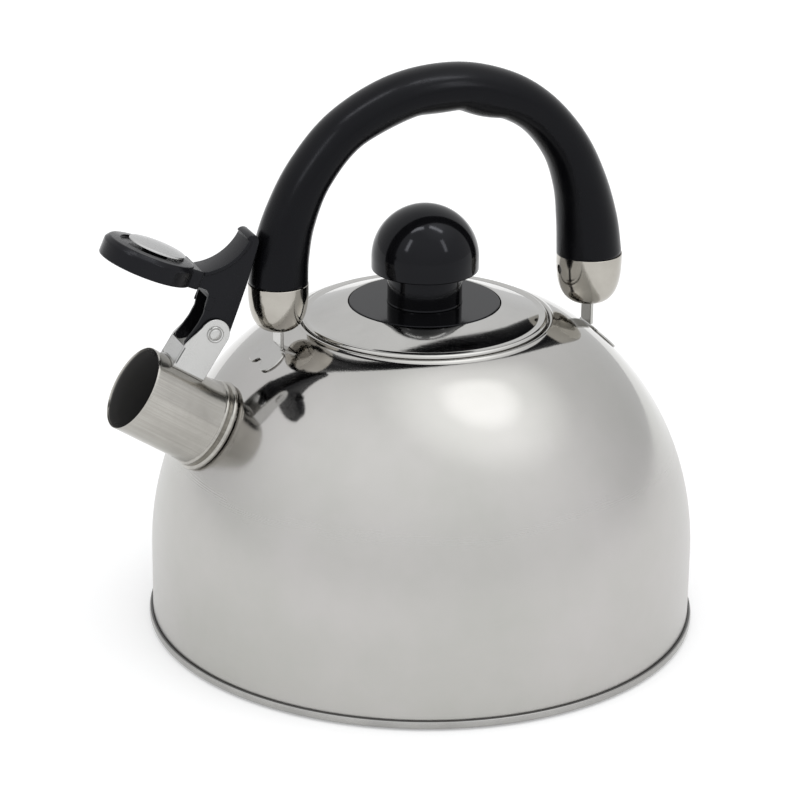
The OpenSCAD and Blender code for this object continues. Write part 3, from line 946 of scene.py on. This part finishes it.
def make_grip():
    """The arched grip, with a small rounding at each end."""
    last = len(GRIP_STATIONS) - 1
    steps = last * 10
    edge = 0.5
    rings = [grip_ring(0, edge * (1 - math.sin(a)), edge * (1 - math.cos(a)))
             for a in (0, math.pi / 6, math.pi / 3)]
    rings += [grip_ring(last * i / steps) for i in range(1, steps)]
    rings += [grip_ring(last, edge * (1 - math.sin(a)), -edge * (1 - math.cos(a)))
              for a in (math.pi / 3, math.pi / 6, 0)]
    return loft("grip", rings)


def ferrule_r(r, height, z):
    """The bullet's radius at z above its tip."""
    return r * (1 - ((height - z) / height) ** 3) ** (1 / 3)


def make_ferrule(name, r, height, x, top, inwards):
    """A bullet-shaped cap with a screw's hole on the side that faces the lid."""
    heights = [height * (i / 40) ** 2 for i in range(41)]
    outside = [(0, 0)] + [(ferrule_r(r, height, z), z) for z in heights[1:]]
    outside[-1] = (r, height - 0.15)
    inside = [(ferrule_r(r - SHEET, height, z), z + 1) for z in heights[1:38]]
    brim = [(r - 0.15, height), (r - SHEET, height)]
    profile = outside + brim + list(reversed(inside)) + [(0, 1)]
    place = Matrix.Translation((x, 0, top - height))
    cap = lathe(name, profile, 128, closed=False, place=place)
    level = Matrix.Translation((0, 0, height - SCREW_DROP))
    side = place @ level @ Matrix.Rotation(inwards * math.pi / 2, 4, "Y")
    cut(cap, rod("screw_hole", SCREW_HOLE_R, 2, 20, side))
    slot = block("slot", (-1, -STRAP_W / 2 - 0.3, -2), (1, STRAP_W / 2 + 0.3, 5), place)
    cut(cap, slot)
    cap.data.set_sharp_from_angle(angle=math.radians(40))
    return cap


def foot_outline(x):
    """The strap's wide end seen from above: a neck and two lobes."""
    centre = x + LOBE_OUT
    points = [(x - STRAP_T / 2, -STRAP_W / 2), (x + 0.4, -STRAP_W / 2 - 0.2)]
    points += arc((centre, -LOBE_SIDE), LOBE_R, 200, 420, 22)
    points += arc((centre, LOBE_SIDE), LOBE_R, -60, 160, 22)
    points += [(x + 0.4, STRAP_W / 2 + 0.2), (x - STRAP_T / 2, STRAP_W / 2)]
    return points


def make_strap(name, x, top, side):
    """A flat steel strap whose foot is pressed to the dome, with a weld's dimple in each lobe."""
    upright = block("upright", (x - STRAP_T / 2, -STRAP_W / 2, dome_z(x - STRAP_T) + 0.1),
                    (x + STRAP_T / 2, STRAP_W / 2, top + STRAP_IN_GRIP))
    bevel(upright, 0.3, 2)
    foot = prism("foot", foot_outline(x), 0, 1)
    bm = bmesh.new()
    bm.from_mesh(foot.data)
    bm.transform(Matrix.Scale(1 / MM, 4))
    bpy.data.objects.remove(foot)
    caps = [f for f in bm.faces if len(f.verts) > 4]
    bmesh.ops.triangulate(bm, faces=caps)
    for _ in range(2):
        bmesh.ops.subdivide_edges(bm, edges=[e for e in bm.edges if e.calc_length() > 2], cuts=1)
        bmesh.ops.triangulate(bm, faces=bm.faces)
    for vert in bm.verts:
        px, layer, py = vert.co
        r = math.hypot(px, py)
        t = dome_angle(r)
        out = GAP + layer * (FOOT_T - GAP)
        rr, zz = dome_point(t, out)
        weld = math.hypot(px - x - LOBE_OUT, abs(py) - LOBE_SIDE)
        if layer > 0.5 and weld < WELD_R:
            zz -= WELD_DEPTH * (1 - (weld / WELD_R) ** 2)
        vert.co = Vector((px * rr / r, py * rr / r, zz))
    plate = finish_mesh("foot_plate", bm, sharp=math.radians(40))
    bevel(plate, 0.25, 2, math.radians(50))
    strap = join(name, [upright, plate])
    if side < 0:
        strap.data.transform(Matrix.Rotation(math.pi, 4, "Z"))
    return strap


# ---- assembly ----

def show(piece, material, body, slot, *nodes):
    """Gives a piece its material and its body, and hides the CAD nodes that it stands for."""
    piece.data.materials.clear()
    piece.data.materials.append(material)
    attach(piece, body)
    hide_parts(*nodes)


def repaint(node, material):
    """A CAD node whose shape is kept gets the material in each of its slots."""
    for material_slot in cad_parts[node].material_slots:
        material_slot.material = material


def build_object():
    """Every piece in its material; returns the black plastic ones."""
    look = materials()
    kettle = "kettle"
    show(make_body(), look["body"], kettle, "polished_steel", "body_shell")
    show(make_base(), look["rim"], kettle, "polished_steel", "base_pan")
    show(make_spout(), look["spout"], kettle, "spout_steel", "spout_tube")
    show(make_bracket(), look["bracket"], kettle, "spout_steel", "lever_bracket")
    show(make_rivet(), look["bracket"], kettle, "bright_trim", "lever_rivet")
    show(make_strap("front_foot_strap", FRONT_X, FRONT_TOP, -1),
         look["strap"], kettle, "polished_steel", "front_strap")
    show(make_strap("rear_foot_strap", REAR_X, REAR_TOP, 1),
         look["strap"], kettle, "polished_steel", "rear_strap")
    show(make_ferrule("front_cap", FRONT_FERRULE_R, FRONT_FERRULE_H, -FRONT_X, FRONT_TOP, 1),
         look["front_cap"], kettle, "bright_trim", "front_ferrule")
    show(make_ferrule("rear_cap", REAR_FERRULE_R, REAR_FERRULE_H, REAR_X, REAR_TOP, -1),
         look["rear_cap"], kettle, "bright_trim", "rear_ferrule")
    grip = make_grip()
    show(grip, look["grip"], kettle, "grip_plastic", "handle_grip")
    lever = join("lever", [make_arm(), make_neck(), make_cap()])
    show(lever, look["lever"], "whistle", "lever_plastic", "whistle_lever")
    show(make_disc(), look["disc"], "whistle", "disc_steel", "whistle_disc")
    show(make_lid(), look["lid"], "lid", "polished_steel", "lid_shell")
    show(make_guard(), look["knob"], "lid", "knob_plastic", "knob_guard")
    knob = make_knob()
    show(knob, look["knob"], "lid", "knob_plastic", "knob")
    repaint("whistle_cup", look["lever"])
    for node in ("lid_skirt", "knob_screw", "knob_washer", "whistle_plate"):
        repaint(node, look["strap"])
    # The screws, seen through the ferrules' holes, carry the painted shade of those holes.
    for node in ("front_screw", "rear_screw"):
        repaint(node, look["screw"])
    return grip, lever, knob


# ---- studio ----

def make_floor():
    """A pale floor that glows a little, so that only the contact shadow stands out."""
    bm = bmesh.new()
    bmesh.ops.create_grid(bm, x_segments=1, y_segments=1, size=FLOOR_HALF)
    floor = finish_mesh("studio_floor", bm)
    look = Look("pale_floor", Roughness=0.9, Specular_IOR_Level=0.0, Emission_Color=(1, 1, 1, 1),
                Emission_Strength=FLOOR_GLOW)
    look.tint(look.noise(look.place(), 3, 3), (0.70, 0.70, 0.70), (0.715, 0.715, 0.712))
    floor.data.materials.append(look.material)


def white_tent():
    """A white studio tent: darker behind, lighter above, and lightest towards a lamp on the right."""
    world = bpy.data.worlds.new("white_tent")
    world.use_nodes = True
    tree = world.node_tree
    shader = tree.nodes["Background"]
    shader.inputs["Color"].default_value = TENT_TINT
    way = tree.nodes.new("ShaderNodeTexCoord")

    def graded(toward, start, end, low, high):
        """A level that goes from low to high as the view turns towards a direction."""
        facing = tree.nodes.new("ShaderNodeVectorMath")
        facing.operation = "DOT_PRODUCT"
        facing.inputs[1].default_value = toward
        level = tree.nodes.new("ShaderNodeMapRange")
        level.interpolation_type = "SMOOTHSTEP"
        for socket, number in zip(list(level.inputs)[1:5], (start, end, low, high)):
            socket.default_value = number
        tree.links.new(way.outputs["Generated"], facing.inputs[0])
        tree.links.new(facing.outputs["Value"], level.inputs[0])
        return level.outputs[0]

    def combined(operation, a, b):
        made = tree.nodes.new("ShaderNodeMath")
        made.operation = operation
        tree.links.new(a, made.inputs[0])
        tree.links.new(b, made.inputs[1])
        return made.outputs[0]

    front = Vector((math.sin(CAMERA_TURN), -math.cos(CAMERA_TURN), 0))
    height = graded((0, 0, 1), 0.0, 0.85, TENT_LEVEL, TENT_TOP)
    depth = graded(front, -0.6, 0.5, TENT_BACK, 1.0)
    key = graded(KEY_FROM.normalized(), KEY_EDGE, 1.0, 0.0, KEY_LEVEL)
    core = graded(KEY_FROM.normalized(), CORE_EDGE, CORE_FULL, 0.0, CORE_LEVEL)
    lamp = combined("ADD", key, core)
    level = combined("ADD", combined("MULTIPLY", height, depth), lamp)
    tree.links.new(level, shader.inputs["Strength"])
    bpy.context.scene.world = world


def add_glint(name, right, high, power):
    """An oblong lamp aimed at the knob, its long side square to the direction of the camera."""
    centre = Vector((0, 0, KNOB_Z)) * MM
    turn = math.radians(right) + CAMERA_TURN
    rise = math.radians(high)
    toward = Vector((math.sin(turn) * math.cos(rise), -math.cos(turn) * math.cos(rise),
                     math.sin(rise)))
    along = CAMERA_AT.cross(toward).normalized()
    data = bpy.data.lights.new(name, "AREA")
    data.shape = "RECTANGLE"
    data.size, data.size_y = GLINT_SIZE
    data.energy = power
    lamp = bpy.data.objects.new(name, data)
    lamp.location = centre + toward * GLINT_AWAY
    lamp.rotation_euler = Matrix((along, toward.cross(along), toward)).transposed().to_euler()
    bpy.context.scene.collection.objects.link(lamp)
    return lamp


def add_glints(black_pieces):
    """The glints, whose light is kept off everything but the black plastic."""
    lit = bpy.data.collections.new("black_plastic")
    for piece in black_pieces:
        lit.objects.link(piece)
    for i, (right, high, power) in enumerate(GLINTS):
        lamp = add_glint(f"glint_{i}", right, high, power)
        lamp.light_linking.receiver_collection = lit


def make_studio(black_pieces):
    """The floor, the tent and the lamps, with colours shown as they are."""
    make_floor()
    white_tent()
    add_glints(black_pieces)
    bpy.context.scene.view_settings.view_transform = "Standard"
    bpy.context.scene.view_settings.look = "None"


def make_camera():
    """The camera, in front of the kettle and above it."""
    data = bpy.data.cameras.new("photo_view")
    data.lens = CAMERA_LENS
    data.sensor_width = CAMERA_SENSOR
    data.clip_end = 20
    camera = bpy.data.objects.new("photo_view", data)
    camera.location = CAMERA_AT * MM
    turn = Euler((0, 0, CAMERA_TURN)).to_matrix()
    tip = Euler((math.pi / 2 - CAMERA_DOWN, 0, 0)).to_matrix()
    roll = Euler((0, 0, CAMERA_ROLL)).to_matrix()
    camera.rotation_euler = (turn @ tip @ roll).to_euler()
    bpy.context.scene.collection.objects.link(camera)
    bpy.context.scene.camera = camera


make_camera()
make_studio(build_object())
